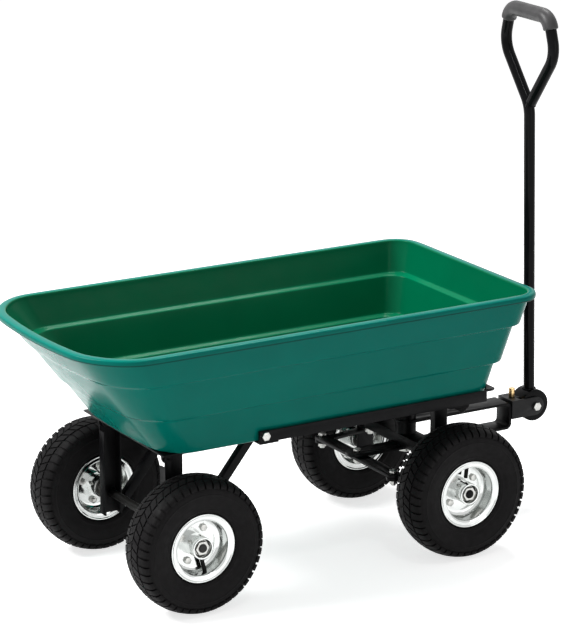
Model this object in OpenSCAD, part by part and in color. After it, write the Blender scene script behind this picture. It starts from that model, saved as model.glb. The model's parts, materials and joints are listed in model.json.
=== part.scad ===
// Tipping dump cart: a moulded tub on a welded steel undercarriage with four air tyres,
// a rear tipping hinge, a front release latch, linked steering and a folding pull handle.
// Millimetres, +Z up, ground at Z 0, the handle at the +X end.

/* [Wheels] */

// Outside diameter of a tyre
wheel_d = 258; // [240:1:270]
// Width of a tyre across the sidewalls
tyre_w = 82; // [76:1:84]
// Diameter of the rim flange
rim_d = 130; // [124:1:136]
// Diameter of the axle and the stub spindles
axle_d = 15.9; // [14:0.1:18]
// Tread lugs on each shoulder of a tyre
tread_lugs = 48; // [36:1:60]

/* [Undercarriage] */

// Distance between the front and rear axles
wheelbase = 576; // [540:1:620]
// Distance between the tyre centres of one axle
track = 388; // [380:1:410]
// Height of the deck that the tub sits on above the top of the tyres
deck_rise = 33; // [28:1:50]
// Steel thickness of the rails and channels
steel_t = 3; // [2:0.5:4]
// Height of the side rails that hold the tub sideways
rail_h = 22; // [16:1:24]

/* [Tub] */

// How far the front end of the tub lies in front of the front axle
tub_front = 154; // [130:1:170]
// Width of the tub over the rim
tub_w = 497; // [480:1:520]
// Height of the tub from its underside to the top of the rim
tub_h = 215.7; // [200:0.1:235]
// Wall thickness of the tub
tub_wall = 4.5; // [4:0.1:6]
// Depth of each moulded step in the walls
tub_step = 8; // [4:1:10]
// How far the side and front walls lean out over their height
wall_lean = 48; // [40:1:56]
// How far the rear wall leans back over its height
rear_lean = 168; // [150:1:175]
// How far the rim stands out from the walls
lip_w = 13; // [9:1:16]
// How far the rear end of the tub lies behind the rear axle
tub_rear = 228; // [215:1:240]

/* [Steering] */

// Length of the steering arms behind the kingpins
arm_len = 110; // [95:1:120]
// Distance from a tyre centre to its kingpin
kingpin_in = 64; // [63:0.5:68]
// Width of the steering yoke
yoke_w = 45; // [40:1:54]

/* [Handle] */

// Distance from the front axle to the handle pivot
handle_reach = 291; // [270:1:320]
// How far the handle pivot lies under the top limb of the yoke
pivot_drop = 11.5; // [6:0.5:16]
// Height of the handle above its pivot
handle_len = 803; // [700:1:850]
// Outside diameter of the handle tube
handle_d = 22; // [20:0.5:25]
// Width of the hand loop between the corners of its shoulders
loop_w = 168; // [150:6:186]
// Backward lean of the standing handle, in degrees
lean = 1.4; // [0.5:0.1:3]
// Outside diameter of the grip sleeve
grip_d = 30; // [28:0.5:34]

/* [Hidden] */

$fn = 48;

// Clearances: running fit on the radius, fixed fit on the radius, and the seat of the tub
run = 0.06;
fit = 0.1;
seat = 0.3;

// Wheel places
wheel_r = wheel_d / 2;
wheel_y = track / 2;
tyre_in = wheel_y - tyre_w / 2;

// Wheel section, with radius first and the distance from the middle plane second
sheet = 2;
rim_r = rim_d / 2;
rim_half = 32;
seat_r = rim_r - 11.5;
hub_half = 33;
hub_r = 20.5;
bearing_r = 17.5;
bearing_w = 11;
bolt_ring = 33;
washer_d = 30;
spacer_d = 24;
// How deep the outer bearing and its nut sit in the hub, and the end of the axle
recess = 13;
axle_end = wheel_y + hub_half;

// Tub levels above the underside
deck_z = wheel_d + deck_rise;
tub_z = deck_z + seat;
lip_h = 10;
wall_top = tub_h - lip_h;
step_u = [0.35 * tub_h, 0.70 * tub_h];
draft = wall_lean / wall_top;
foot_u = 7;

// Corner radii of the tub's plan and the bow of its rear edge, at the floor and at the rim
rear_round = [62, 100];
front_round = [34, 44];
rear_bow = [10, 26];
rim_front = wheelbase + tub_front;

// Rails, with their bolt measured in and up from the rear foot of a rail
side_gap = 1;
rail_in = draft * (wall_top - rail_h) + 2 * tub_step;
rail_y = tub_w / 2 - lip_w - rail_in + 2 * steel_t + side_gap;
lip_x = rim_front - lip_w - rail_in + 1.5;
rail_x0 = 143;
rail_x1 = wheelbase + 64;
rail_bolt = [11, 13];
rail_bolt_d = 10;
strap_w = 40;
cross_w = 35;
beam_h = 18;
beam_z = deck_z - steel_t - beam_h;

// Rear hinge
hinge_x = -16;
plate_t = 3;
plate_x = 42;
plate_y = 158;
ear_r = 12.5;
hinge_z = tub_z - plate_t - ear_r - 0.6;
leg_y = tyre_in - 23;
leg_w = 36;
leg_x = -6;
leg_d = 20;
leg_drop = 38;
strut_w = 16;
strut_t = 2;
lug_t = 5;
hinge_d = 10;

// Front axle
king_y = wheel_y - kingpin_in;
king_d = 12;
post_h = 80;
axle_h = 22;
axle_z1 = beam_z - post_h;
axle_z0 = axle_z1 - axle_h;
axle_w = 40;
ear_t = 5;
sleeve_r = 14;
web_y = king_y + sleeve_r + 1;
web_t = 5;
post_y = king_y - sleeve_r - 2;
post_w = 28;
post_d = 17;

// Yoke and tie bar
yoke_t = 5;
yoke_rise = 22;
steer_d = 16;
column_d = 41;
bolster_x = wheelbase + column_d / 2 + 0.5 + steel_t;
tie_t = 6;
tie_w = 28;
tie_d = 10;
yoke_z0 = axle_z0 - yoke_t - 0.5;
yoke_z1 = axle_z1 + yoke_rise + 0.5;
tie_z = yoke_z0 - tie_t - 0.5;
arm_z = tie_z - tie_t - 0.5;
tie_x = wheelbase - arm_len;

// Handle fork and boss
pivot_x = wheelbase + handle_reach;
pivot_z = yoke_z1 - pivot_drop;
boss_r = 32;
boss_half = 20;
cheek_t = 4.5;
cheek_h = 37;
fork_len = 57;
fork_x = pivot_x - fork_len;
fork_t = 5;
hitch_d = 9;
hitch_x = fork_x + fork_t + 10;
knob_h = 16;
bolt_d = 10;

// Hand loop, in the plane of the handle
loop_top = handle_len - grip_d / 2;
loop_y = 3 * round(loop_w / 6);
shoulder = loop_top - 72;
neck = shoulder - loop_y * 4 / 3;
corner_way = [-0.28, 0.96];
corner_y = loop_y + corner_way[0] * (loop_top - shoulder) / corner_way[1];
grip_wrap = 25;
tube_t = 2;

// Latch
bail_d = 8;
bail_in = 47;
bail_drop = 23;
bail_x = lip_x - bail_in;
bail_z = deck_z - bail_drop;
hook_l = 28;
catch_drop = 47;
catch_x = bail_x + hook_l;
catch_z = deck_z - catch_drop;
catch_t = 6;
catch_d = 8;
ear_in = 9;

// Middle of the whole length, so that the part stands over its own centre
far_x = pivot_x + boss_r;
centre_x = (far_x - tub_rear) / 2;

// Colours
green = [0.02, 0.40, 0.34];
black = [0.09, 0.09, 0.10];
zinc = [0.78, 0.79, 0.80];
rubber = [0.13, 0.13, 0.14];
yellow = [0.78, 0.60, 0.25];

// Everything is drawn from the rear axle and then moved to stand over its middle
module cart() {
  translate([-centre_x, 0, 0]) children();
}

// The far side is a mirror image of the near side
module side(s) {
  mirror([0, s < 0 ? 1 : 0, 0]) children();
}

module box(a, b) {
  translate(a) cube(b - a);
}

module rod_y(x, z, y0, y1, d) {
  translate([x, y0, z]) rotate([-90, 0, 0]) cylinder(h = y1 - y0, d = d);
}

module rod_z(x, y, z0, z1, d) {
  translate([x, y, z0]) cylinder(h = z1 - z0, d = d);
}

module hexagon(h, across) {
  cylinder(h = h, d = across / cos(30), $fn = 6);
}

// Bolt along +Z with its head below zero and its nut above the grip
module bolt(d, grip, nut = true) {
  translate([0, 0, -0.6 * d]) hexagon(0.6 * d, 1.5 * d);
  cylinder(h = nut ? grip + 1.1 * d : grip, d = d);
  if (nut) translate([0, 0, grip]) hexagon(0.75 * d, 1.5 * d);
}

// Points of an arc from a to b that stands out to the left of the line by h
function arc(a, b, h, n) =
  let (m = (a + b) / 2, v = b - a, l = norm(v), u = [-v[1], v[0]] / l)
  let (r = (l * l / 4 + h * h) / (2 * h), c = m + u * (h - r))
  let (a0 = atan2(a[1] - c[1], a[0] - c[0]), a1 = atan2(b[1] - c[1], b[0] - c[0]))
  let (d0 = a1 - a0, d = d0 > 180 ? d0 - 360 : d0 < -180 ? d0 + 360 : d0)
  [for (i = [0 : n]) c + abs(r) * [cos(a0 + d * i / n), sin(a0 + d * i / n)]];

// Outline of a sheet of thickness t that follows a path on its left side
function normal(p, i) =
  let (n = len(p), a = p[max(i - 1, 0)], b = p[min(i + 1, n - 1)], c = p[i])
  let (u = i == 0 ? b - c : c - a, v = i == n - 1 ? c - a : b - c)
  let (p1 = [-u[1], u[0]] / norm(u), p2 = [-v[1], v[0]] / norm(v), s = p1 + p2)
  s / (1 + p1 * p2);
function backward(p) = [for (i = [len(p) - 1 : -1 : 0]) p[i]];
function sheet_outline(p, t) =
  concat(p, backward([for (i = [0 : len(p) - 1]) p[i] + t * normal(p, i)]));
function flip(p) = [for (q = p) [q[0], -q[1]]];

// Tub: rings of a rounded plan that rise up the outside, over the lip and down the inside

function mix(a, b, t) = a + (b - a) * t;
function wall_in(u) =
  draft * (wall_top - u) + tub_step * ((u < step_u[1] ? 1 : 0) + (u < step_u[0] ? 1 : 0));
function wall_rear(u) =
  rear_lean * (wall_top - u) / wall_top
  + 4 * ((u < step_u[1] ? 1 : 0) + (u < step_u[0] ? 1 : 0)) - 8 * (1 - u / wall_top);
function corner(x, y, r, a0, a1, n) =
  [for (i = [0 : n]) [x + r * cos(mix(a0, a1, i / n)), y + r * sin(mix(a0, a1, i / n))]];
function plan(x0, x1, w, r0, r1, bow) =
  let (edge = w - r0, k = 6)
  let (rear = [for (i = [1 : k - 1]) [x0, edge - 2 * edge * i / k]])
  let (p = concat(
    corner(x1 - r1, w - r1, r1, 0, 90, 6),
    corner(x0 + r0, w - r0, r0, 90, 180, 8),
    rear,
    corner(x0 + r0, r0 - w, r0, 180, 270, 8),
    corner(x1 - r1, r1 - w, r1, 270, 360, 6)))
  [for (q = p) [q[0] + bow * pow(q[1] / w, 2) * max(0, 1 - (q[0] - x0) / (1.2 * r0)), q[1]]];
function ring(u, level, out) =
  let (t = level / wall_top)
  let (w = tub_w / 2 - lip_w - wall_in(level) + out)
  let (x0 = -tub_rear + lip_w + wall_rear(level) - out)
  let (x1 = rim_front - lip_w - wall_in(level) + out)
  let (r0 = mix(rear_round[0], rear_round[1], t) + out)
  let (r1 = mix(front_round[0], front_round[1], t) + out)
  [for (q = plan(x0, x1, w, r0, r1, mix(rear_bow[0], rear_bow[1], t))) [q[0], q[1], tub_z + u]];

tub_rings = concat(
  [ring(0, 0, -5.5), ring(0.6, 0, -3), ring(2.6, 2.6, -0.8), ring(foot_u, foot_u, 0)],
  [ring(step_u[0] - 4, step_u[0] - 4, 0), ring(step_u[0] + 4, step_u[0] + 4, 0)],
  [ring(step_u[1] - 4, step_u[1] - 4, 0), ring(step_u[1] + 4, step_u[1] + 4, 0)],
  [ring(wall_top, wall_top, 0), ring(wall_top + 1, wall_top, lip_w - 3.5)],
  [ring(wall_top - 1.5, wall_top, lip_w - 2.5), ring(wall_top - 1.5, wall_top, lip_w - 1)],
  [ring(wall_top + 1, wall_top, lip_w), ring(tub_h - 6, wall_top, lip_w)],
  [ring(tub_h - 2, wall_top, lip_w - 2), ring(tub_h, wall_top, lip_w - 6)],
  [ring(tub_h, wall_top, 3 - tub_wall), ring(tub_h - 1.2, wall_top, 0.8 - tub_wall)],
  [ring(tub_h - 5, wall_top, -tub_wall), ring(step_u[1] + 5, step_u[1] + 4, -tub_wall)],
  [ring(step_u[1] - 2, step_u[1] - 4, -tub_wall), ring(step_u[0] + 5, step_u[0] + 4, -tub_wall)],
  [ring(step_u[0] - 2, step_u[0] - 4, -tub_wall), ring(tub_wall + 7, 7, -tub_wall)],
  [ring(tub_wall + 2.5, 2.6, -tub_wall - 2), ring(tub_wall + 0.5, 0, -tub_wall - 6)]);
ring_n = len(tub_rings[0]);
ring_m = len(tub_rings);

module tub_shell() {
  points = [for (r = tub_rings, q = r) q];
  sides = [for (j = [0 : ring_m - 2], i = [0 : ring_n - 1])
    let (k = (i + 1) % ring_n, a = j * ring_n, b = a + ring_n)
    each [[a + i, b + i, b + k], [a + i, b + k, a + k]]];
  under = [for (i = [0 : ring_n - 1]) i];
  floor_top = [for (i = [ring_n - 1 : -1 : 0]) (ring_m - 1) * ring_n + i];
  polyhedron(points = points, faces = concat(sides, [under, floor_top]), convexity = 6);
}

// Places of the screws that hold the hinge plate and the striker, up into the tub floor
plate_screws = [for (y = [-112, -56, 56, 112]) [22, y]];
striker_screws = [for (y = [-22, 22]) [bail_x + 1, y]];
screw_d = 8;
screw_in = 3;

module tub() {
  color(green) difference() {
    tub_shell();
    // Sunk panel of the floor
    translate([0, 0, tub_z + tub_wall]) linear_extrude(20) tub_panel();
    for (p = concat(plate_screws, striker_screws))
      rod_z(p[0], p[1], tub_z - 1, tub_z + screw_in, screw_d + 2 * fit);
  }
}

module tub_panel() {
  w = tub_w / 2 - lip_w - wall_in(0) - tub_wall - 12;
  x0 = -tub_rear + lip_w + wall_rear(0) + tub_wall + 24;
  x1 = rim_front - lip_w - wall_in(0) - tub_wall - 12;
  r = 30;
  for (y = [r - w, w - r], x = [x0 + r, x1 - r]) translate([x, y]) circle(r);
  translate([x0 + r, -w]) square([x1 - x0 - 2 * r, 2 * w]);
  translate([x0, r - w]) square([x1 - x0, 2 * (w - r)]);
}

module hinge_plate() {
  z = tub_z - plate_t;
  color(black) difference() {
    union() {
      box([-plate_x, -plate_y, z], [plate_x, plate_y, tub_z]);
      for (s = [-1, 1]) side(s) {
        rod_y(hinge_x, hinge_z, leg_y - steel_t - 0.5 - lug_t, leg_y - steel_t - 0.5, 2 * ear_r - 1);
        box([hinge_x - ear_r + 0.5, leg_y - steel_t - 0.5 - lug_t, hinge_z],
          [hinge_x + ear_r - 0.5, leg_y - steel_t - 0.5, z + 1]);
      }
    }
    for (s = [-1, 1]) side(s)
      rod_y(hinge_x, hinge_z, leg_y - 20, leg_y, hinge_d + 2 * run);
    for (p = plate_screws)
      rod_z(p[0], p[1], z - 1, tub_z + 1, screw_d + 2 * fit);
  }
}

// Bail that the latch hooks over, under the front of the tub
module latch_striker() {
  z = tub_z - plate_t;
  color(black) difference() {
    union() {
      box([bail_x - 9, -34, z], [bail_x + 11, 34, tub_z]);
      for (s = [-1, 1]) side(s) {
        box([bail_x - 8, 12, bail_z], [bail_x + 8, 15, z + 1]);
        rod_y(bail_x, bail_z, 12, 15, 16);
      }
      rod_y(bail_x, bail_z, -14, 14, bail_d);
    }
    for (p = striker_screws)
      rod_z(p[0], p[1], z - 1, tub_z + 1, screw_d + 2 * fit);
  }
}

module tub_bolts() {
  color(zinc) for (p = concat(plate_screws, striker_screws))
    translate([p[0], p[1], tub_z - plate_t]) bolt(screw_d, plate_t + screw_in, false);
}

// Rails and cross members

module rail_hole(depth) {
  rod_y(rail_x0 + rail_bolt[0], deck_z + rail_bolt[1], rail_y - depth, rail_y + 1,
    rail_bolt_d + 2 * fit);
}

module side_rail() {
  color(black) difference() {
    box([rail_x0, rail_y - steel_t, deck_z], [rail_x1, rail_y, deck_z + rail_h]);
    rail_hole(steel_t + 1);
  }
}

// Flat strap under the tub, with a lug at each end that is bolted inside the rail
module rear_cross_member() {
  y = rail_y - steel_t;
  color(black) difference() {
    union() {
      box([rail_x0, -rail_y, deck_z - steel_t], [rail_x0 + strap_w, rail_y, deck_z]);
      for (s = [-1, 1]) side(s)
        box([rail_x0, y - steel_t, deck_z - 1], [rail_x0 + 2 * rail_bolt[0], y, deck_z + rail_h]);
    }
    for (s = [-1, 1]) side(s) rail_hole(3 * steel_t);
  }
}

module frame_bolts() {
  color(zinc) for (s = [-1, 1]) side(s)
    translate([rail_x0 + rail_bolt[0], rail_y, deck_z + rail_bolt[1]]) rotate([90, 0, 0])
      bolt(rail_bolt_d, 2 * steel_t, false);
}

// Angle over the front axle: a flat top that carries the rails and a flange with bevelled ends
module front_bolster() {
  z1 = deck_z - steel_t;
  low = rail_y - beam_h;
  color(black) {
    box([wheelbase - axle_w / 2, -rail_y, z1], [bolster_x, rail_y, deck_z]);
    translate([bolster_x - steel_t, 0, 0]) rotate([90, 0, 90]) linear_extrude(steel_t)
      polygon([[-low, beam_z], [low, beam_z], [rail_y, z1], [rail_y, z1 + 1],
        [-rail_y, z1 + 1], [-rail_y, z1]]);
  }
}

// Strap under the front of the tub, bent up in front of it to a plate that joins the rails
module front_cross_member() {
  y = rail_y - cross_w;
  z1 = deck_z + rail_h;
  color(black) {
    box([lip_x - cross_w, -y, deck_z - steel_t], [lip_x + 1, y, deck_z]);
    box([lip_x, -y, deck_z - steel_t], [lip_x + steel_t, y, z1 - 1]);
    translate([0, 0, z1 - steel_t]) linear_extrude(steel_t) difference() {
      front_plate(lip_x + steel_t, 8);
      polygon([for (q = ring(0, rail_h, side_gap)) [q[0], q[1]]]);
    }
  }
}

module front_plate(x1, bevel) {
  polygon([[rail_x1, -rail_y], [x1 - bevel, -rail_y], [x1, bevel - rail_y],
    [x1, rail_y - bevel], [x1 - bevel, rail_y], [rail_x1, rail_y]]);
}

// Rear legs, struts and axle

// Channel with its web outwards; only the web and the front flange rise beside the hinge lug
module rear_leg() {
  x0 = leg_x - leg_w / 2;
  x1 = leg_x + leg_w / 2;
  z0 = wheel_r - leg_drop;
  top = hinge_z + ear_r;
  color(black) difference() {
    union() {
      box([x0, leg_y - steel_t, z0], [x1, leg_y, hinge_z]);
      box([hinge_x, leg_y - steel_t, hinge_z - 1], [x1, leg_y, top]);
      intersection() {
        rod_y(hinge_x, hinge_z, leg_y - steel_t, leg_y, 2 * ear_r);
        box([x0, leg_y - leg_d, z0], [x1, leg_y + 1, top + 1]);
      }
      box([x0, leg_y - leg_d, z0], [x0 + steel_t, leg_y, hinge_z - ear_r - 6]);
      box([x1 - steel_t, leg_y - leg_d, z0], [x1, leg_y, top]);
    }
    rod_y(hinge_x, hinge_z, leg_y - 9, leg_y + 1, hinge_d + 2 * fit);
    rod_y(0, wheel_r, leg_y - leg_d - 10, leg_y + 1, axle_d + 2 * fit);
  }
}

// Square tube from the foot of the leg up to the rear cross member
module rear_strut() {
  a = [leg_x + leg_w / 2, wheel_r - leg_drop + 0.8 * strut_w];
  b = [rail_x0 + 17, deck_z - steel_t];
  slope = atan2(b[1] - a[1], b[0] - a[0]);
  over = 2 * strut_w;
  long = norm(b - a) + over;
  half = strut_w / 2;
  y = leg_y - half;
  color(black) intersection() {
    translate([a[0], y, a[1]]) rotate([0, -slope, 0]) difference() {
      box([-over, -half, -half], [long, half, half]);
      box([-over - 1, strut_t - half, strut_t - half], [long + 1, half - strut_t, half - strut_t]);
    }
    box([a[0], y - strut_w, a[1] - 2 * over], [b[0] + 2 * over, y + strut_w, b[1]]);
  }
}

module rear_axle() {
  color(zinc) rod_y(0, wheel_r, -axle_end, axle_end, axle_d);
}

// Spacer between the frame and the hub, and the washer and nut in the outer end of the hub
module axle_hardware(x, from) {
  y0 = wheel_y - hub_half - 0.3;
  y1 = wheel_y + hub_half - recess + 0.3;
  difference() {
    union() {
      rod_y(x, wheel_r, from, y0, spacer_d);
      rod_y(x, wheel_r, y1, y1 + 2.5, washer_d);
      translate([x, y1 + 2, wheel_r]) rotate([-90, 0, 0]) hexagon(9, 24);
    }
    rod_y(x, wheel_r, from - 1, axle_end + 1, axle_d + 2 * fit);
  }
}

module rear_axle_fasteners() {
  color(zinc) for (s = [-1, 1]) side(s) axle_hardware(0, leg_y);
}

// Pins of the tipping hinge, flush with the outside of the legs
module hinge_bolts() {
  y0 = leg_y - steel_t - lug_t - 1.5;
  color(black) for (s = [-1, 1]) side(s)
    translate([hinge_x, y0, hinge_z]) rotate([-90, 0, 0]) bolt(hinge_d, leg_y - y0, false);
}

// Front axle

// Channel behind the bolster's flange, from the axle beam up to the bolster's top
module front_post() {
  x1 = bolster_x - steel_t;
  x0 = x1 - post_w;
  z1 = deck_z - steel_t;
  color(black) {
    box([x0, post_y - steel_t, axle_z1], [x1, post_y, z1]);
    for (x = [x0, x1 - steel_t])
      box([x, post_y - post_d, axle_z1], [x + steel_t, post_y, z1]);
  }
}

module front_axle_beam() {
  x0 = wheelbase - axle_w / 2;
  x1 = wheelbase + axle_w / 2;
  y = king_y - sleeve_r + 2;
  color(black) difference() {
    union() {
      difference() {
        box([x0, -y, axle_z0], [x1, y, axle_z1]);
        box([x0 + steel_t, -y + 3, axle_z0 + steel_t], [x1 - steel_t, y - 3, axle_z1 - steel_t]);
      }
      rod_z(wheelbase, 0, axle_z0, axle_z1, 28);
      rod_z(wheelbase, 0, axle_z1 - 1, axle_z1 + yoke_rise, column_d);
      for (s = [-1, 1]) rod_z(wheelbase, s * king_y, axle_z0, axle_z1, 2 * sleeve_r);
    }
    rod_z(wheelbase, 0, axle_z0 - 1, axle_z1 + yoke_rise + 1, steer_d + 2 * fit);
    for (s = [-1, 1]) rod_z(wheelbase, s * king_y, axle_z0 - 1, axle_z1 + 1, king_d + 2 * fit);
  }
}

module steering_column() {
  z0 = yoke_z1 + yoke_t + 0.5;
  color(black) difference() {
    rod_z(wheelbase, 0, z0, deck_z - steel_t, column_d);
    rod_z(wheelbase, 0, z0 - 1, beam_z - 6, steer_d + 2 * fit);
  }
}

module steering_bolt() {
  z0 = yoke_z0 - 0.5;
  color(zinc) translate([wheelbase, 0, z0]) bolt(steer_d, beam_z - 8 - z0, false);
}

module kingpins() {
  z = axle_z1 + 0.5 + ear_t + 0.3;
  grip = axle_z1 - axle_z0 + 2 * ear_t + 1.6;
  color(zinc) for (s = [-1, 1])
    translate([wheelbase, s * king_y, z]) rotate([180, 0, 0]) bolt(king_d, grip);
}

// Bent bracket round the kingpin sleeve, with the spindle and the steering arm
module knuckle() {
  x0 = wheelbase - 18;
  x1 = wheelbase + 18;
  z0 = axle_z0 - 0.5 - ear_t;
  z1 = axle_z1 + 0.5;
  color(black) difference() {
    union() {
      box([x0, web_y, wheel_r - 18], [x1, web_y + web_t, z1 + ear_t]);
      for (z = [z0, z1]) {
        rod_z(wheelbase, king_y, z, z + ear_t, 2 * sleeve_r);
        box([wheelbase - sleeve_r, king_y, z], [wheelbase + sleeve_r, web_y + 1, z + ear_t]);
      }
      rod_y(wheelbase, wheel_r, web_y, axle_end, axle_d);
      translate([0, 0, arm_z]) linear_extrude(tie_t) steering_arm();
    }
    for (z = [z0, z1])
      rod_z(wheelbase, king_y, z - 0.1, z + ear_t + 0.1, king_d + 2 * run);
    rod_z(tie_x, king_y, arm_z - 1, arm_z + tie_t + 1, tie_d + 2 * fit);
  }
}

module steering_arm() {
  a = [wheelbase - 10, web_y + web_t / 2];
  b = [tie_x, king_y];
  translate(b) circle(tie_w / 2);
  translate(b) rotate(atan2(a[1] - b[1], a[0] - b[0])) translate([0, -9]) square([norm(a - b), 18]);
}

module front_fasteners() {
  color(zinc) {
    axle_hardware(wheelbase, web_y + web_t);
    translate([tie_x, king_y, tie_z + tie_t + 0.3]) rotate([180, 0, 0]) bolt(tie_d, 2 * tie_t + 0.8);
  }
}

// Yoke, tie bar and handle fork

module yoke() {
  r = 12;
  x1 = fork_x - r;
  color(black) difference() {
    union() {
      translate([0, 0, yoke_z0]) linear_extrude(yoke_t) {
        translate([tie_x, 0]) circle(yoke_w / 2);
        translate([tie_x, -yoke_w / 2]) square([x1 - tie_x, yoke_w]);
      }
      translate([0, 0, yoke_z1]) linear_extrude(yoke_t) {
        translate([wheelbase, 0]) circle(yoke_w / 2);
        translate([wheelbase, -yoke_w / 2]) square([x1 - wheelbase, yoke_w]);
      }
      translate([x1, yoke_w / 2, 0]) rotate([90, 0, 0]) linear_extrude(yoke_w) yoke_bend(r);
    }
    rod_z(wheelbase, 0, yoke_z0 - 1, yoke_z1 + yoke_t + 1, steer_d + 2 * run);
    rod_z(tie_x, 0, yoke_z0 - 1, yoke_z0 + yoke_t + 1, tie_d + 2 * fit);
  }
}

// The two bends and the upright front of the yoke
module yoke_bend(r) {
  z0 = yoke_z0;
  z1 = yoke_z1 + yoke_t;
  difference() {
    union() {
      translate([0, z0 + r]) circle(r);
      translate([0, z1 - r]) circle(r);
      translate([0, z0 + r]) square([r, z1 - z0 - 2 * r]);
    }
    translate([0, z0 + r]) circle(r - yoke_t);
    translate([0, z1 - r]) circle(r - yoke_t);
    translate([-1, z0 + r]) square([1 + r - yoke_t, z1 - z0 - 2 * r]);
    translate([-2 * r, z0 - 1]) square([2 * r, z1 - z0 + 2]);
  }
}

module tie_bolt() {
  color(zinc) translate([tie_x, 0, yoke_z0 + yoke_t]) rotate([180, 0, 0])
    bolt(tie_d, yoke_t + tie_t + 1);
}

module tie_bar() {
  color(black) difference() {
    translate([0, 0, tie_z]) linear_extrude(tie_t) {
      translate([tie_x - tie_w / 2, -king_y]) square([tie_w, 2 * king_y]);
      for (s = [-1, 1]) translate([tie_x, s * king_y]) circle(tie_w / 2);
    }
    for (y = [-king_y, 0, king_y]) rod_z(tie_x, y, tie_z - 1, tie_z + tie_t + 1, tie_d + 2 * run);
  }
}

module handle_clevis() {
  y1 = boss_half + 0.5 + cheek_t;
  z0 = pivot_z - cheek_h / 2;
  z1 = pivot_z + cheek_h / 2;
  color(black) difference() {
    union() {
      box([fork_x, -y1, z0], [fork_x + fork_t, y1, z1]);
      for (s = [-1, 1]) side(s) {
        box([fork_x, y1 - cheek_t, z0], [pivot_x, y1, z1]);
        rod_y(pivot_x, pivot_z, y1 - cheek_t, y1, cheek_h);
      }
      for (z = [z0, z1 - 4]) box([fork_x, -y1, z], [hitch_x + 6.5, y1, z + 4]);
    }
    rod_y(pivot_x, pivot_z, -y1 - 1, y1 + 1, bolt_d + 2 * fit);
    rod_z(hitch_x, 0, z0 - 1, z1 + 1, hitch_d + 2 * run);
  }
}

module handle_bolt() {
  y1 = boss_half + 0.5 + cheek_t;
  color(zinc) translate([pivot_x, -y1, pivot_z]) rotate([-90, 0, 0]) bolt(bolt_d, 2 * y1);
}

module hitch_pin() {
  z0 = pivot_z - cheek_h / 2;
  z1 = pivot_z + cheek_h / 2;
  color(yellow) {
    rod_z(hitch_x, 0, z0 - 5, z1 + 3, hitch_d);
    rod_z(hitch_x, 0, z1 + 0.3, z1 + 4, 12);
    rod_z(hitch_x, 0, z1 + 3, z1 + 3 + knob_h, 12);
  }
}

// Handle, drawn upright on its pivot and then leaned back

module on_pivot() {
  translate([pivot_x, 0, pivot_z]) rotate([0, -lean, 0]) children();
}

// Round bar through points in the Y Z plane with a bend at each inner point
function unit(v) = v / norm(v);
function turn(p, i) =
  let (a = unit(p[i] - p[i - 1]), b = unit(p[i + 1] - p[i]))
  atan2(a[0] * b[1] - a[1] * b[0], a * b);
function cut(p, r, i) = i == 0 || i == len(p) - 1 ? 0 : r[i] * tan(abs(turn(p, i)) / 2);

module bent_bar(p, r, d) {
  for (i = [0 : len(p) - 2]) {
    v = unit(p[i + 1] - p[i]);
    a = p[i] + v * cut(p, r, i);
    b = p[i + 1] - v * cut(p, r, i + 1);
    translate([0, a[0], a[1]]) rotate([-atan2(v[0], v[1]), 0, 0]) cylinder(h = norm(b - a), d = d);
  }
  for (i = [1 : len(p) - 2]) bend(p, r, i, d);
}

// One bend: the slice of a ring between the ends of the straight runs that it joins
module bend(p, r, i, d) {
  s = sign(turn(p, i));
  v = unit(p[i] - p[i - 1]);
  w = unit(p[i + 1] - p[i]);
  c = p[i] - v * cut(p, r, i) + s * r[i] * [-v[1], v[0]];
  reach = 2 * s * (r[i] + d);
  translate([0, c[0], c[1]]) rotate([90, 0, 90]) intersection() {
    rotate_extrude() translate([r[i], 0]) circle(d = d);
    translate([0, 0, -d]) linear_extrude(2 * d)
      polygon([[0, 0], reach * [v[1], -v[0]], reach * [w[1], -w[0]]]);
  }
}

stem_path = [[0, boss_r - 4], [0, neck], [loop_y, shoulder], [corner_y, loop_top],
  [-corner_y, loop_top], [-loop_y, shoulder], [-6, neck + 8]];
stem_bends = [0, 60, 56, 28, 28, 56, 0];
function grip_path(wrap) = let (end = [corner_y, loop_top] - wrap * corner_way)
  [end, [corner_y, loop_top], [-corner_y, loop_top], [-end[0], end[1]]];
grip_bends = [0, 28, 28, 0];

module boss_hollow() {
  rotate([90, 0, 0]) difference() {
    translate([0, 0, 3 - boss_half]) cylinder(h = 2 * boss_half - 6, r = boss_r - 4);
    translate([0, 0, -boss_half]) cylinder(h = 2 * boss_half, r = 11);
  }
}

// Stop on the boss that meets the top plate of the fork when the handle stands
module stop_lug() {
  x = hitch_x + 6.5 + 0.5 - pivot_x;
  z = cheek_h / 2;
  translate([pivot_x, 0, pivot_z]) difference() {
    box([x, -8, z - 6], [x + 12, 8, z]);
    rotate([90, 0, 0]) translate([0, 0, -20]) cylinder(h = 40, r = boss_r - 2);
  }
}

module handle_tube() {
  bore_path = concat([[0, boss_r - 8]], [for (i = [1 : len(stem_path) - 1]) stem_path[i]]);
  color(black) {
    on_pivot() difference() {
      union() {
        rotate([90, 0, 0]) translate([0, 0, -boss_half]) cylinder(h = 2 * boss_half, r = boss_r);
        bent_bar(stem_path, stem_bends, handle_d);
      }
      boss_hollow();
      bent_bar(bore_path, stem_bends, handle_d - 2 * tube_t);
      rotate([90, 0, 0]) translate([0, 0, -30]) cylinder(h = 60, d = bolt_d + 2 * run);
      // Drain at the foot of the boss
      translate([0, 0, -boss_r - 1]) cylinder(h = 8, d = 6);
    }
    stop_lug();
  }
}

module handle_grip() {
  color(rubber) on_pivot() difference() {
    bent_bar(grip_path(grip_wrap), grip_bends, grip_d);
    bent_bar(grip_path(grip_wrap + 2), grip_bends, handle_d + 0.2);
  }
}

// Latch at the front of the tub

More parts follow.
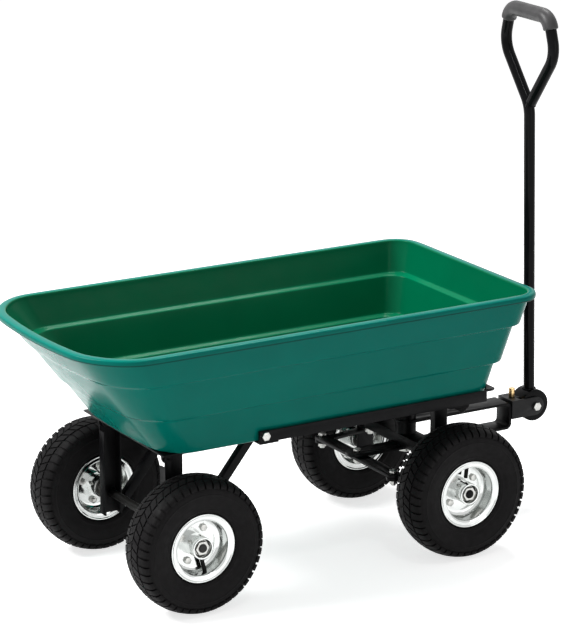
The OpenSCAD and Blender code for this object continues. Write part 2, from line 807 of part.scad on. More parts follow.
module latch_bracket() {
  z1 = deck_z - steel_t;
  color(black) difference() {
    union() {
      box([catch_x - 16, -ear_in - 3, z1 - 3], [lip_x - 1, ear_in + 3, z1]);
      for (s = [-1, 1]) side(s) {
        box([catch_x - 12, ear_in, catch_z], [catch_x + 12, ear_in + 3, z1]);
        rod_y(catch_x, catch_z, ear_in, ear_in + 3, 24);
      }
    }
    rod_y(catch_x, catch_z, -30, 30, catch_d + 2 * fit);
  }
}

module latch_bolt() {
  color(zinc) translate([catch_x, -ear_in - 3, catch_z]) rotate([-90, 0, 0])
    bolt(catch_d, 2 * ear_in + 6);
}

// Hook over the bail, and the pedal that lets it go
module latch_lever() {
  tip = bail_x - 4 - catch_x;
  under = bail_z + bail_d / 2 + 0.6 - catch_z;
  hook = [[tip, under], [-11, under], [-9, 0], [9, -3], [52, -2], [54, 9], [12, 11], [-3, under + 1],
    [-6, under + 4.5], [tip + 2, under + 4.5]];
  color(black) translate([catch_x, catch_t / 2, catch_z]) rotate([90, 0, 0]) difference() {
    union() {
      linear_extrude(catch_t) polygon(hook);
      cylinder(h = catch_t, d = 20);
      translate([44, -3, catch_t / 2 - 22]) cube([24, 4, 44]);
    }
    translate([0, 0, -1]) cylinder(h = catch_t + 2, d = catch_d + 2 * run);
  }
}

// Coil round the latch bolt, with a little air between its turns
module latch_spring() {
  d = 1.15;
  turns = 3;
  n = 20;
  m = 8;
  r = 6;
  y0 = -catch_t / 2 - d / 2 - 4.2;
  steps = turns * n;
  points = [for (i = [0 : steps]) let (a = 360 * i / n) for (j = [0 : m - 1])
    let (b = 360 * j / m, q = r + d / 2 * cos(b))
    [q * cos(a), y0 + 4.2 * i / steps + d / 2 * sin(b), q * sin(a)]];
  sides = [for (i = [0 : steps - 1], j = [0 : m - 1])
    let (k = (j + 1) % m, a = i * m, b = a + m)
    each [[a + j, b + j, b + k], [a + j, b + k, a + k]]];
  caps = [[for (j = [0 : m - 1]) j], [for (j = [m - 1 : -1 : 0]) steps * m + j]];
  color(zinc) translate([catch_x, 0, catch_z])
    polyhedron(points = points, faces = concat(sides, caps), convexity = 6);
}

// Wheels, drawn about Z with the outer face up, then set on their axles

module wheel(x, s, turn = 60) {
  translate([x, s * wheel_y, wheel_r]) rotate([-90 * s, 0, 0]) rotate(turn) children();
}

// Half section of the tyre from the bead over the sidewall to the crown, and its lining
shoulder_r = wheel_r - 11;
tyre_half = concat(
  [[seat_r, 17], [seat_r, rim_half - 5], [seat_r + 2.5, rim_half - 2.2], [rim_r + 0.6, rim_half - 2.2]],
  arc([rim_r + 3, rim_half + 1], [shoulder_r, tyre_w / 2 - 2], 4, 8),
  arc([shoulder_r + 4, tyre_w / 2 - 5], [wheel_r, 0], 2.6, 6));
liner_half = concat(
  arc([wheel_r - 9, 0], [shoulder_r - 7, tyre_w / 2 - 13], -2.6, 4),
  arc([shoulder_r - 12, tyre_w / 2 - 9.5], [rim_r + 4, rim_half - 6], -3, 5),
  [[rim_r - 3, 18]]);

module tyre() {
  color(rubber) difference() {
    rotate_extrude($fn = 72) polygon(concat(tyre_half, flip(backward(tyre_half)),
      flip(backward(liner_half)), liner_half));
    for (s = [-1, 1]) rotate([s > 0 ? 0 : 180, 0, s > 0 ? 0 : 180 / tread_lugs])
      translate([0, 0, tyre_w / 2 - tread_in]) linear_extrude(tread_in + 2) tread_gaps();
  }
}

// Gaps between the shoulder lugs
tread_in = 22;
tread_d = 7.5;
module tread_gaps() {
  w = 0.38 * 2 * PI * wheel_r / tread_lugs;
  for (i = [0 : tread_lugs - 1]) rotate(360 * i / tread_lugs)
    translate([wheel_r - tread_d, -w / 2]) square([2 * tread_d, w]);
}

// Air tube, which fills the tyre, with its valve
valve_a = 12.5;
valve_d = 7.5;
valve_tip = 27;
tube_half = concat(liner_half, [[seat_r, 16]]);
tube_mid = [(wheel_r + seat_r) / 2, 0];
function shrink(p, k) = [for (q = p) tube_mid + k * (q - tube_mid)];

// Places what is drawn along Z on the line of the valve, at a distance from the axle
module on_valve(r) {
  translate([r, 0, valve_a]) rotate([0, 90, 0]) children();
}

module inner_tube() {
  color(rubber) difference() {
    union() {
      rotate_extrude($fn = 72) tube_section(tube_half);
      on_valve(valve_tip) cylinder(h = seat_r + 3 - valve_tip, d = valve_d);
    }
    rotate_extrude($fn = 72) tube_section(shrink(tube_half, 0.9));
  }
}

module tube_section(half) {
  polygon(concat(backward(half), [for (i = [1 : len(half) - 1]) [half[i][0], -half[i][1]]]));
}

// Pressed half rim from the hub out to the flange
rim_path = concat(
  [[hub_r - 0.5, 0], [seat_r - 10, 0]],
  arc([seat_r - 6, 1], [seat_r, 7], -1.6, 4),
  [[seat_r, rim_half - 4.4]],
  arc([seat_r + 0.2, rim_half - 3.2], [seat_r + 2, rim_half - 2], 0.6, 3),
  [[rim_r - 3, rim_half - 2], [rim_r, rim_half + 1]]);

module rim() {
  color(zinc) {
    difference() {
      half_rim();
      on_valve(seat_r - 10) cylinder(h = 14, d = valve_d + 1.5);
    }
    rotate([180, 0, 0]) half_rim();
  }
}

module half_rim() {
  difference() {
    union() {
      rotate_extrude($fn = 72) polygon(sheet_outline(rim_path, sheet));
      rotate_extrude($fn = 72) translate([bearing_r, 0]) square([hub_r - bearing_r, hub_half]);
    }
    for (i = [0 : 3]) rotate(45 + 90 * i) translate([bolt_ring, 0, -1]) cylinder(h = 6, d = 8 + 2 * fit);
  }
}

module bearings() {
  color(zinc) for (s = [-1, 1]) translate([0, 0, s > 0 ? hub_half - recess - bearing_w : -hub_half])
    difference() {
      cylinder(h = bearing_w, r = bearing_r - 0.05);
      translate([0, 0, -1]) cylinder(h = bearing_w + 2, d = axle_d + 2 * run);
    }
}

module rim_bolts() {
  color(zinc) for (i = [0 : 3]) rotate(45 + 90 * i) translate([bolt_ring, 0, sheet])
    rotate([180, 0, 0]) bolt(8, 2 * sheet);
}

cart() tub();
cart() hinge_plate();
cart() latch_striker();
cart() tub_bolts();
cart() side_rail();  // side_rail_left
cart() side(-1) side_rail();  // side_rail_right
cart() rear_cross_member();
cart() front_bolster();
cart() front_cross_member();
cart() rear_leg();  // rear_leg_left
cart() side(-1) rear_leg();  // rear_leg_right
cart() rear_strut();  // rear_strut_left
cart() side(-1) rear_strut();  // rear_strut_right
cart() rear_axle();
cart() rear_axle_fasteners();
cart() hinge_bolts();
cart() front_post();  // front_post_left
cart() side(-1) front_post();  // front_post_right
cart() front_axle_beam();
cart() steering_column();
cart() steering_bolt();
cart() kingpins();
cart() latch_bracket();
cart() latch_bolt();
cart() frame_bolts();
cart() latch_lever();
cart() latch_spring();
cart() yoke();
cart() handle_clevis();
cart() handle_bolt();
cart() tie_bolt();
cart() tie_bar();
cart() knuckle();  // knuckle_left
cart() side(-1) knuckle();  // knuckle_right
cart() front_fasteners();  // front_fasteners_left
cart() side(-1) front_fasteners();  // front_fasteners_right
cart() hitch_pin();
cart() handle_tube();
cart() handle_grip();
cart() wheel(0, 1) tyre();  // rear_left_tyre
cart() wheel(0, 1) inner_tube();  // rear_left_inner_tube
cart() wheel(0, 1) rim();  // rear_left_rim
cart() wheel(0, 1) bearings();  // rear_left_bearings
cart() wheel(0, 1) rim_bolts();  // rear_left_rim_bolts
cart() wheel(0, -1, -75) tyre();  // rear_right_tyre
cart() wheel(0, -1, -75) inner_tube();  // rear_right_inner_tube
cart() wheel(0, -1, -75) rim();  // rear_right_rim
cart() wheel(0, -1, -75) bearings();  // rear_right_bearings
cart() wheel(0, -1, -75) rim_bolts();  // rear_right_rim_bolts
cart() wheel(wheelbase, 1) tyre();  // front_left_tyre
cart() wheel(wheelbase, 1) inner_tube();  // front_left_inner_tube
cart() wheel(wheelbase, 1) rim();  // front_left_rim
cart() wheel(wheelbase, 1) bearings();  // front_left_bearings
cart() wheel(wheelbase, 1) rim_bolts();  // front_left_rim_bolts
cart() wheel(wheelbase, -1, 84) tyre();  // front_right_tyre
cart() wheel(wheelbase, -1, 84) inner_tube();  // front_right_inner_tube
cart() wheel(wheelbase, -1, 84) rim();  // front_right_rim
cart() wheel(wheelbase, -1, 84) bearings();  // front_right_bearings
cart() wheel(wheelbase, -1, 84) rim_bolts();  // front_right_rim_bolts
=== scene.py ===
"""Looks of a tipping dump cart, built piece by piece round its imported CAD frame."""

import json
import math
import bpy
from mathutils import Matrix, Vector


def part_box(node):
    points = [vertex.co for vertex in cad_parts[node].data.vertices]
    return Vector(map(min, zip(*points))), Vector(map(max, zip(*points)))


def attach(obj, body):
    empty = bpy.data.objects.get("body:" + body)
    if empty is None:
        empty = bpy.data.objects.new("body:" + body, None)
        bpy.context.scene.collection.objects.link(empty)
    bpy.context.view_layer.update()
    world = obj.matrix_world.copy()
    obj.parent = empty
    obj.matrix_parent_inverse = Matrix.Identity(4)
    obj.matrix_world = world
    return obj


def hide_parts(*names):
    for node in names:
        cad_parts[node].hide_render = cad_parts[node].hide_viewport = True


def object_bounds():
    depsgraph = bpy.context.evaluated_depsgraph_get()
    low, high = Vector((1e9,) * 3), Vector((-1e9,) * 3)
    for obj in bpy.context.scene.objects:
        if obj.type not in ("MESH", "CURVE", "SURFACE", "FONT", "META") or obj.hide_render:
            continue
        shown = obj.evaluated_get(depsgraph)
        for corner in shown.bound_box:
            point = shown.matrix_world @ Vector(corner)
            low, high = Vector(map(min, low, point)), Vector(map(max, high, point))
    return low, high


bl_info = {
    "name": "Tipping dump cart",
    "version": (1, 0, 0),
    "blender": (4, 5, 0),
    "location": "View3D > Sidebar > Dump Cart",
    "description": "Builds the finished looks of a tipping dump cart round its CAD frame",
    "category": "Object",
}

import bmesh
import bpy
from bpy.props import FloatProperty, FloatVectorProperty, IntProperty, PointerProperty
from mathutils import Matrix, Vector

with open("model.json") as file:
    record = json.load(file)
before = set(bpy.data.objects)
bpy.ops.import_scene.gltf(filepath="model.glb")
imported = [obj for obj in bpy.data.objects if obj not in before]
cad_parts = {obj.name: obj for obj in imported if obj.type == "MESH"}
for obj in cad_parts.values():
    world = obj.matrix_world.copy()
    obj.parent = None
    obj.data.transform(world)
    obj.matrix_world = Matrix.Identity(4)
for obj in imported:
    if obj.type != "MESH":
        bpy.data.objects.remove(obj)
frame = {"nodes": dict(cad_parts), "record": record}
CAD_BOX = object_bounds()
TUB_LOW, TUB_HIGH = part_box("tub")

MM = 0.001
WHEELS = ("rear_left", "rear_right", "front_left", "front_right")
# Turn of each wheel about its axle in degrees
WHEEL_TURN = {"rear_left": 60, "rear_right": -75, "front_left": 60, "front_right": 84}
PHOTO_WIDTH, PHOTO_HEIGHT = 562, 640
# Width of each square lamp and where it hangs
LAMPS = {
    "key": (1.5, (-2.4, 0.8, 2.9)),
    "fill": (2.0, (1.2, -3.6, 0.9)),
    "top_light": (0.8, (1.1, 0.8, 3.0)),
    "spark": (0.25, (-0.3, -1.7, 3.2)),
}
LAMPS_AIM = (0.0, 0.0, 0.35)
# Colour sockets of a Mix node
MIX_FACTOR, MIX_FIRST, MIX_SECOND, MIX_RESULT = 0, 6, 7, 2


def size(name, description, default):
    """A length in metres that a user may change."""
    return FloatProperty(
        name=name, description=description, default=default, min=0.0, unit="LENGTH", precision=4
    )


def colour(name, description, default):
    """A linear colour that a user may change."""
    return FloatVectorProperty(
        name=name, description=description, default=default, size=3, min=0.0, max=1.0, subtype="COLOR"
    )


def share(name, description, default):
    """A number from 0 to 1 that a user may change."""
    return FloatProperty(
        name=name, description=description, default=default, min=0.0, max=1.0, subtype="FACTOR"
    )


def power(name, description, default):
    """The power of a lamp that a user may change."""
    return FloatProperty(name=name, description=description, default=default, min=0.0, unit="POWER")


def angle(name, description, degrees):
    """An angle that a user may change."""
    return FloatProperty(
        name=name, description=description, default=math.radians(degrees), subtype="ANGLE"
    )


class TubSettings(bpy.types.PropertyGroup):
    """Sizes and colours of the moulded tub."""

    wall: size("Wall", "Thickness of the tub's wall", 0.0045)
    step: size("Step", "Depth of each moulded step in the walls", 0.008)
    lip_width: size("Lip width", "How far the rim stands out from the walls", 0.013)
    lip_height: size("Lip height", "Height of the turned rim", 0.010)
    wall_lean: size("Wall lean", "How far the side and front walls lean out", 0.048)
    rear_lean: size("Rear lean", "How far the rear wall leans back", 0.168)
    # The outside and inside are one green plastic: the outside's bluer tone is painted reflection of the
    # white surround and the inside's deeper green is painted shade
    outside: colour("Outside", "Colour of the tub's outside", (0.0, 0.162, 0.128))
    inside: colour("Inside", "Colour of the tub's inside", (0.0, 0.150, 0.066))
    roughness: share("Roughness", "Mean roughness of the moulded plastic", 0.22)
    gloss: share("Gloss", "Specular level of the moulded plastic", 0.06)
    # How much paler the rim's top and the inner ledges are drawn: a painted highlight
    paler: FloatProperty(
        name="Paler", description="How much paler the plastic is where it is worn", default=1.45, min=1.0
    )


class WheelSettings(bpy.types.PropertyGroup):
    """Sizes and colours of the tyres and rims."""

    radius: size("Radius", "Outside radius of a tyre", 0.129)
    rim_radius: size("Rim radius", "Radius of the rim flange", 0.065)
    seat_radius: size("Seat radius", "Radius of the seat that the tyre sits on", 0.0535)
    groove: size("Groove", "Depth of the tread grooves", 0.0025)
    lugs: IntProperty(
        name="Lugs", description="Lugs in each row of the tread", default=48, min=12, max=60
    )
    rubber: colour("Rubber", "Colour of the tyres", (0.0040, 0.0036, 0.0039))
    zinc: colour("Zinc", "Colour of the plated rims", (0.63, 0.645, 0.635))


class HandleSettings(bpy.types.PropertyGroup):
    """Sizes and colours of the pull handle."""

    tube_radius: size("Tube radius", "Outside radius of the handle tube", 0.011)
    grip_radius: size("Grip radius", "Outside radius of the grip sleeve", 0.0148)
    loop_half: size("Loop half width", "Half the width of the hand loop between its shoulders", 0.084)
    corner_half: size("Corner half width", "Half the width of the hand loop at its top corners", 0.063)
    neck: size("Neck", "Height above the pivot at which the loop starts", 0.604)
    shoulder: size("Shoulder", "Height above the pivot of the loop's shoulders", 0.716)
    top: size("Top", "Height above the pivot of the loop's top bar", 0.788)
    lean: angle("Lean", "Backward lean of the standing handle", 1.4)
    grip: colour("Grip", "Colour of the grip sleeve", (0.040, 0.039, 0.040))


class SteelSettings(bpy.types.PropertyGroup):
    """Finish of the steel pieces."""

    black: colour("Black", "Colour of the powder coat", (0.0040, 0.0040, 0.0045))
    bright: colour("Bright", "Colour of the plated fasteners", (0.52, 0.52, 0.50))
    yellow: colour("Yellow", "Colour of the yellow plating", (0.85, 0.60, 0.30))
    edge: size("Edge", "Radius of the eased edges of cut steel", 0.0007)


class StageSettings(bpy.types.PropertyGroup):
    """Camera, floor and light."""

    azimuth: angle("Azimuth", "Turn of the camera round the cart", -30.527)
    elevation: angle("Elevation", "Height of the camera above the horizon", 16.216)
    distance: size("Distance", "From the camera to the point it looks at", 5.8115)
    target: FloatVectorProperty(
        name="Target", description="Point that the camera looks at",
        default=(-0.0399, 0.0, 0.4563), size=3, subtype="TRANSLATION", unit="LENGTH",
    )
    focal: FloatProperty(
        name="Focal length", description="Focal length in pixels of the picture", default=3102.7, min=1.0
    )
    key: power("Key", "Power of the key light", 130.0)
    fill: power("Fill", "Power of the low front light", 14.0)
    top_light: power("Top", "Power of the light above", 35.0)
    spark: power("Spark", "Power of the small high front light", 5.0)
    sky: share("Sky", "Strength of the light from all round", 0.28)
    glow: share("Glow", "Light that the floor adds where it is seen directly", 0.70)
    floor: colour("Floor", "Colour of the floor", (0.95, 0.95, 0.95))


# Materials

# The part of a noise's 0 to 1 output that most of its area lies in
MIDDLE_RANGE = (0.3, 0.7)
# The painted shade below the rim: its band of heights under the rim's top, and places in that band
RIM_SHADE_LOW, RIM_SHADE_HIGH = 0.0150, 0.0050
RIM_SHADE_ENDS, RIM_SHADE_DARK, RIM_SHADE_TONE = (0.22, 0.66), (0.30, 0.52), 0.35


def new_material(name):
    """An empty node material with its shader and output, and its node tree."""
    material = bpy.data.materials.new(name)
    material.use_nodes = True
    tree = material.node_tree
    tree.nodes.clear()
    shader = tree.nodes.new("ShaderNodeBsdfPrincipled")
    output = tree.nodes.new("ShaderNodeOutputMaterial")
    tree.links.new(shader.outputs["BSDF"], output.inputs["Surface"])
    return material, tree, shader


def noise(tree, scale, detail=3.0, distortion=0.0):
    """Noise over Object coordinates; scale is in features per metre."""
    where = tree.nodes.new("ShaderNodeTexCoord")
    node = tree.nodes.new("ShaderNodeTexNoise")
    node.inputs["Scale"].default_value = scale
    node.inputs["Detail"].default_value = detail
    node.inputs["Distortion"].default_value = distortion
    tree.links.new(where.outputs["Object"], node.inputs["Vector"])
    return node.outputs["Fac"]


def between(tree, factor, low, high):
    """Spreads the middle range of a factor between two numbers."""
    node = tree.nodes.new("ShaderNodeMapRange")
    node.inputs["From Min"].default_value, node.inputs["From Max"].default_value = MIDDLE_RANGE
    node.inputs["To Min"].default_value = low
    node.inputs["To Max"].default_value = high
    tree.links.new(factor, node.inputs["Value"])
    return node.outputs["Result"]


def shades(tree, factor, dark, light):
    """A ramp from a darker to a lighter shade of one colour."""
    node = tree.nodes.new("ShaderNodeValToRGB")
    for stop, place, shade in zip(node.color_ramp.elements, MIDDLE_RANGE, (dark, light)):
        stop.position = place
        stop.color = (*shade, 1.0)
    tree.links.new(factor, node.inputs["Fac"])
    return node.outputs["Color"]


def tone(base, factor):
    """A lighter or darker tone of a colour."""
    return tuple(min(1.0, c * factor) for c in base)


def add_bump(tree, shader, height, strength, distance):
    """Bump on a shader from a height."""
    node = tree.nodes.new("ShaderNodeBump")
    node.inputs["Strength"].default_value = strength
    node.inputs["Distance"].default_value = distance
    tree.links.new(height, node.inputs["Height"])
    tree.links.new(node.outputs["Normal"], shader.inputs["Normal"])


def stored(tree, name):
    """A number that a piece keeps on its vertices."""
    node = tree.nodes.new("ShaderNodeAttribute")
    node.attribute_name = name
    return node.outputs["Fac"]


def times(tree, base, factor):
    """A colour multiplied by a number or by another colour."""
    node = tree.nodes.new("ShaderNodeMix")
    node.data_type = "RGBA"
    node.blend_type = "MULTIPLY"
    node.inputs[MIX_FACTOR].default_value = 1.0
    tree.links.new(base, node.inputs[MIX_FIRST])
    tree.links.new(factor, node.inputs[MIX_SECOND])
    return node.outputs[MIX_RESULT]


def shade_under_rim(tree, base):
    """The colour of the tub's outside, with a band of painted shade at the undercut below the rim."""
    where = tree.nodes.new("ShaderNodeTexCoord")
    split = tree.nodes.new("ShaderNodeSeparateXYZ")
    height = tree.nodes.new("ShaderNodeMapRange")
    height.inputs["From Min"].default_value = TUB_HIGH.z - RIM_SHADE_LOW
    height.inputs["From Max"].default_value = TUB_HIGH.z - RIM_SHADE_HIGH
    tree.links.new(where.outputs["Object"], split.inputs["Vector"])
    tree.links.new(split.outputs["Z"], height.inputs["Value"])
    # A ramp that darkens the lip's lower edge: painted shade
    rim_shade = tree.nodes.new("ShaderNodeValToRGB")
    ramp = rim_shade.color_ramp
    ramp.elements[0].position, ramp.elements[1].position = RIM_SHADE_ENDS
    ramp.elements[0].color = ramp.elements[1].color = (1.0, 1.0, 1.0, 1.0)
    for place in RIM_SHADE_DARK:
        ramp.elements.new(place).color = (RIM_SHADE_TONE, RIM_SHADE_TONE, RIM_SHADE_TONE, 1.0)
    tree.links.new(height.outputs["Result"], rim_shade.inputs["Fac"])
    return times(tree, base, rim_shade.outputs["Color"])


def moulded_plastic(tub):
    """Green plastic with a fine moulded skin: its bluer outside is painted reflection, its deeper green
    inside is painted shade, and it is drawn paler on the rim's top and the inner ledges as a painted
    highlight.
    """
    material, tree, shader = new_material("moulded_plastic")
    cloud = noise(tree, 9.0, 2.0, 0.4)
    outside = shades(tree, cloud, tone(tub.outside, 0.95), tone(tub.outside, 1.05))
    inside = shades(tree, cloud, tone(tub.inside, 0.95), tone(tub.inside, 1.05))
    # Faces that face in take the inside colour: painted shade, against the painted reflection of the
    # outside
    mix = tree.nodes.new("ShaderNodeMix")
    mix.data_type = "RGBA"
    tree.links.new(stored(tree, "inside"), mix.inputs[MIX_FACTOR])
    tree.links.new(shade_under_rim(tree, outside), mix.inputs[MIX_FIRST])
    tree.links.new(inside, mix.inputs[MIX_SECOND])
    # Paler on the rim's top and the inner ledges: a painted highlight
    highlit = times(tree, mix.outputs[MIX_RESULT], between(tree, stored(tree, "wear"), 1.0, tub.paler))
    tree.links.new(highlit, shader.inputs["Base Color"])
    rough = between(tree, noise(tree, 30.0, 3.0), tub.roughness - 0.04, tub.roughness + 0.05)
    tree.links.new(rough, shader.inputs["Roughness"])
    shader.inputs["Specular IOR Level"].default_value = tub.gloss
    add_bump(tree, shader, noise(tree, 420.0, 2.0), 0.03, 0.0004)
    return material


def powder_coat(steel, name="powder_coat", roughness=0.36, level=0.08):
    """Black powder coat with orange peel and slight dulling."""
    material, tree, shader = new_material(name)
    paint = shades(tree, noise(tree, 22.0, 4.0), tone(steel.black, 0.75), tone(steel.black, 1.5))
    rough = between(tree, noise(tree, 70.0, 3.0), roughness - 0.05, roughness + 0.08)
    tree.links.new(paint, shader.inputs["Base Color"])
    tree.links.new(rough, shader.inputs["Roughness"])
    shader.inputs["Specular IOR Level"].default_value = level
    add_bump(tree, shader, noise(tree, 520.0, 2.0), 0.16, 0.0004)
    return material


def plated(name, base, low, high):
    """Plated metal with a fine spangle and a roughness that drifts between two values."""
    material, tree, shader = new_material(name)
    plate = shades(tree, noise(tree, 60.0, 4.0, 0.6), tone(base, 0.94), tone(base, 1.06))
    tree.links.new(plate, shader.inputs["Base Color"])
    tree.links.new(between(tree, noise(tree, 140.0, 3.0), low, high), shader.inputs["Roughness"])
    shader.inputs["Metallic"].default_value = 1.0
    add_bump(tree, shader, noise(tree, 900.0, 2.0), 0.05, 0.0002)
    return material


def rubber(name, base, low, high, scale=320.0, strength=0.25, level=0.10):
    """Dull rubber with a fine grain and slightly uneven colour and roughness."""
    material, tree, shader = new_material(name)
    skin = shades(tree, noise(tree, 34.0, 5.0), tone(base, 0.75), tone(base, 1.45))
    tree.links.new(skin, shader.inputs["Base Color"])
    tree.links.new(between(tree, noise(tree, 90.0, 3.0), low, high), shader.inputs["Roughness"])
    shader.inputs["Specular IOR Level"].default_value = level
    add_bump(tree, shader, noise(tree, scale, 3.0), strength, 0.0004)
    return material


# Mesh helpers

# Faces that meet at less than the first angle are joined; edges above the second are eased
JOINED, SHARP = math.radians(0.4), math.radians(40)


def add_piece(name, bm, material, body, nodes, crease=35.0):
    """Makes a finished object of a bmesh, which rides on a body and stands for CAD nodes."""
    mesh = bpy.data.meshes.new(name)
    bm.to_mesh(mesh)
    bm.free()
    mesh.materials.append(material)
    mesh.shade_smooth()
    mesh.set_sharp_from_angle(angle=math.radians(crease))
    piece = bpy.data.objects.new(name, mesh)
    bpy.context.scene.collection.objects.link(piece)
    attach(piece, body)
    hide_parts(*nodes)
    return piece


def add_into(bm, other):
    """Moves the geometry of another bmesh into bm."""
    carrier = bpy.data.meshes.new("carrier")
    other.to_mesh(carrier)
    other.free()
    bm.from_mesh(carrier)
    bpy.data.meshes.remove(carrier)


def close_up(bm):
    """Merges doubled vertices and turns the faces outwards."""
    bmesh.ops.remove_doubles(bm, verts=bm.verts[:], dist=1e-6)
    bmesh.ops.recalc_face_normals(bm, faces=bm.faces[:])


def ease_off(bm, geom, offset, segments, affect="EDGES"):
    """Rounds off edges, or the corners of a flat outline."""
    bmesh.ops.bevel(
        bm, geom=geom, offset=offset, offset_type="OFFSET", affect=affect,
        segments=segments, profile=0.5, material=-1, clamp_overlap=True,
    )


def turn(bm, radians, axis):
    """Turns a whole bmesh about an axis through the origin."""
    way = Matrix.Rotation(radians, 3, axis)
    bmesh.ops.rotate(bm, verts=bm.verts[:], cent=(0, 0, 0), matrix=way)


def section(points, ease=0.0):
    """A closed outline in the XZ plane, radius first, with its corners eased."""
    bm = bmesh.new()
    bm.faces.new([bm.verts.new((r, 0.0, a)) for r, a in points])
    if ease:
        ease_off(bm, bm.verts[:], ease, 3, "VERTICES")
    return bm


def turned(points, ease=0.0, steps=96):
    """A ring turned about Z from a closed outline."""
    bm = section(points, ease)
    bmesh.ops.delete(bm, geom=bm.faces[:], context="FACES_ONLY")
    bmesh.ops.spin(
        bm, geom=bm.verts[:] + bm.edges[:], axis=(0, 0, 1), cent=(0, 0, 0),
        angle=math.tau, steps=steps, use_merge=True,
    )
    close_up(bm)
    return bm


def new_ring(made):
    """The outer edges that an extrusion has made."""
    fresh = {v for v in made if isinstance(v, bmesh.types.BMVert)}
    return [e for e in made if isinstance(e, bmesh.types.BMEdge) and fresh.issuperset(e.verts)]


def loft(bm, rings):
    """Skins a stack of rings: each ring is extruded from the one before it and set in its place."""
    place = bm.verts.layers.int.new("place")
    verts = [bm.verts.new(p) for p in rings[0]]
    for i, v in enumerate(verts):
        v[place] = i
    first = [bm.edges.new((verts[i - 1], verts[i])) for i in range(len(verts))]
    edges = first
    for ring in rings[1:]:
        made = bmesh.ops.extrude_edge_only(bm, edges=edges)["geom"]
        for v in made:
            if isinstance(v, bmesh.types.BMVert):
                v.co = ring[v[place]]
        edges = new_ring(made)
    return first, edges


def bent_tube(points, bends, radius, sides=32, steps=14):
    """A round tube through points of the YZ plane: straight runs are extruded and bends are spun."""
    bm = bmesh.new()
    path = [Vector((0.0, y, z)) for y, z in points]
    ways = [(b - a).normalized() for a, b in zip(path, path[1:])]
    start = Matrix.Translation(path[0]) @ ways[0].to_track_quat("Z", "Y").to_matrix().to_4x4()
    bmesh.ops.create_circle(bm, cap_ends=False, radius=radius, segments=sides, matrix=start)
    edges = bm.edges[:]
    at = path[0]
    for i, way in enumerate(ways):
        end = path[i + 1]
        bend = way.angle(ways[i + 1]) if i + 1 < len(ways) else 0.0
        stop = end - way * bends[i + 1] * math.tan(bend / 2)
        made = bmesh.ops.extrude_edge_only(bm, edges=edges)["geom"]
        verts = [v for v in made if isinstance(v, bmesh.types.BMVert)]
        bmesh.ops.translate(bm, verts=verts, vec=stop - at)
        edges = new_ring(made)
        at = stop
        if bend:
            axis = way.cross(ways[i + 1]).normalized()
            centre = at + axis.cross(way) * bends[i + 1]
            geom = edges + list({v for e in edges for v in e.verts})
            spun = bmesh.ops.spin(bm, geom=geom, axis=axis, cent=centre, angle=bend, steps=steps)
            edges = [e for e in spun["geom_last"] if isinstance(e, bmesh.types.BMEdge)]
            at = end + ways[i + 1] * bends[i + 1] * math.tan(bend / 2)
    return bm


def cap_ends(bm, ease=0.0):
    """Closes the open ends of a tube and eases their rims."""
    rims = [e for e in bm.edges if e.is_boundary]
    bmesh.ops.holes_fill(bm, edges=rims, sides=0)
    close_up(bm)
    if ease:
        ease_off(bm, [e for e in rims if e.is_valid], ease, 3)


def eased_copy(node, ease):
    """A copy of a CAD node with its flat faces joined and its sharp edges eased."""
    bm = bmesh.new()
    bm.from_mesh(frame["nodes"][node].data)
    bmesh.ops.remove_doubles(bm, verts=bm.verts[:], dist=2e-6)
    bmesh.ops.dissolve_limit(bm, angle_limit=JOINED, verts=bm.verts[:], edges=bm.edges[:])
    sharp = [e for e in bm.edges if e.is_manifold and e.calc_face_angle(0.0) > SHARP]
    ease_off(bm, sharp, ease, 2)
    return bm


def body_of_node(node):
    """The name of the CAD body that a node belongs to."""
    bodies = frame["record"]["behaviour"]["bodies"]
    return next(body for body, nodes in bodies.items() if node in nodes)


def finish_nodes(nodes, material, ease):
    """Stands an eased copy in the place of each CAD node."""
    for node in nodes:
        copy = eased_copy(node, ease)
        add_piece(node + "_finished", copy, material, body_of_node(node), [node])


# Tub

TUB_HEIGHT = TUB_HIGH.z - TUB_LOW.z
# Heights of the two moulded steps above the underside
TUB_STEPS = (0.35 * TUB_HEIGHT, 0.70 * TUB_HEIGHT)
# Depth of a step in the rear wall, and how far that wall's foot is set back
REAR_STEP, REAR_FOOT = 4 * MM, 8 * MM
# Corner radii and bow of the rear wall at the underside, and how much each gains up to the rim
REAR_CORNER, REAR_CORNER_GAIN = 62 * MM, 38 * MM
FRONT_CORNER, FRONT_CORNER_GAIN = 34 * MM, 10 * MM
REAR_BOW, REAR_BOW_GAIN = 10 * MM, 16 * MM
# Width of the flat border round the floor and the underside
FLAT_BORDER = 10 * MM
# A point over the opening, which the inner faces look at
OVER_OPENING = Vector((-0.05, 0.0, 0.62))
# Strength of the painted highlight on the rim's top and on the inner ledges
RIM_HIGHLIGHT, LEDGE_HIGHLIGHT = 0.60, 1.0


def wall_inset(tub, level, t):
    """How far the side and front walls lie in from the rim at a level, a share t of the way up."""
    return tub.wall_lean * (1 - t) + tub.step * sum(level < s for s in TUB_STEPS)


def rear_inset(tub, level, t):
    """How far the rear wall lies in from the rim at a level, a share t of the way up."""
    return (tub.rear_lean - REAR_FOOT) * (1 - t) + REAR_STEP * sum(level < s for s in TUB_STEPS)


def arc_points(cx, cy, r, start, count):
    """A quarter of a circle in the plan, from a start angle in degrees."""
    turns = [math.radians(start + 90 * i / count) for i in range(count + 1)]
    return [(cx + r * math.cos(a), cy + r * math.sin(a)) for a in turns]


def line_points(a, b, count):
    """Points inside a straight run of the plan."""
    return [tuple(Vector(a).lerp(Vector(b), i / count)) for i in range(1, count)]


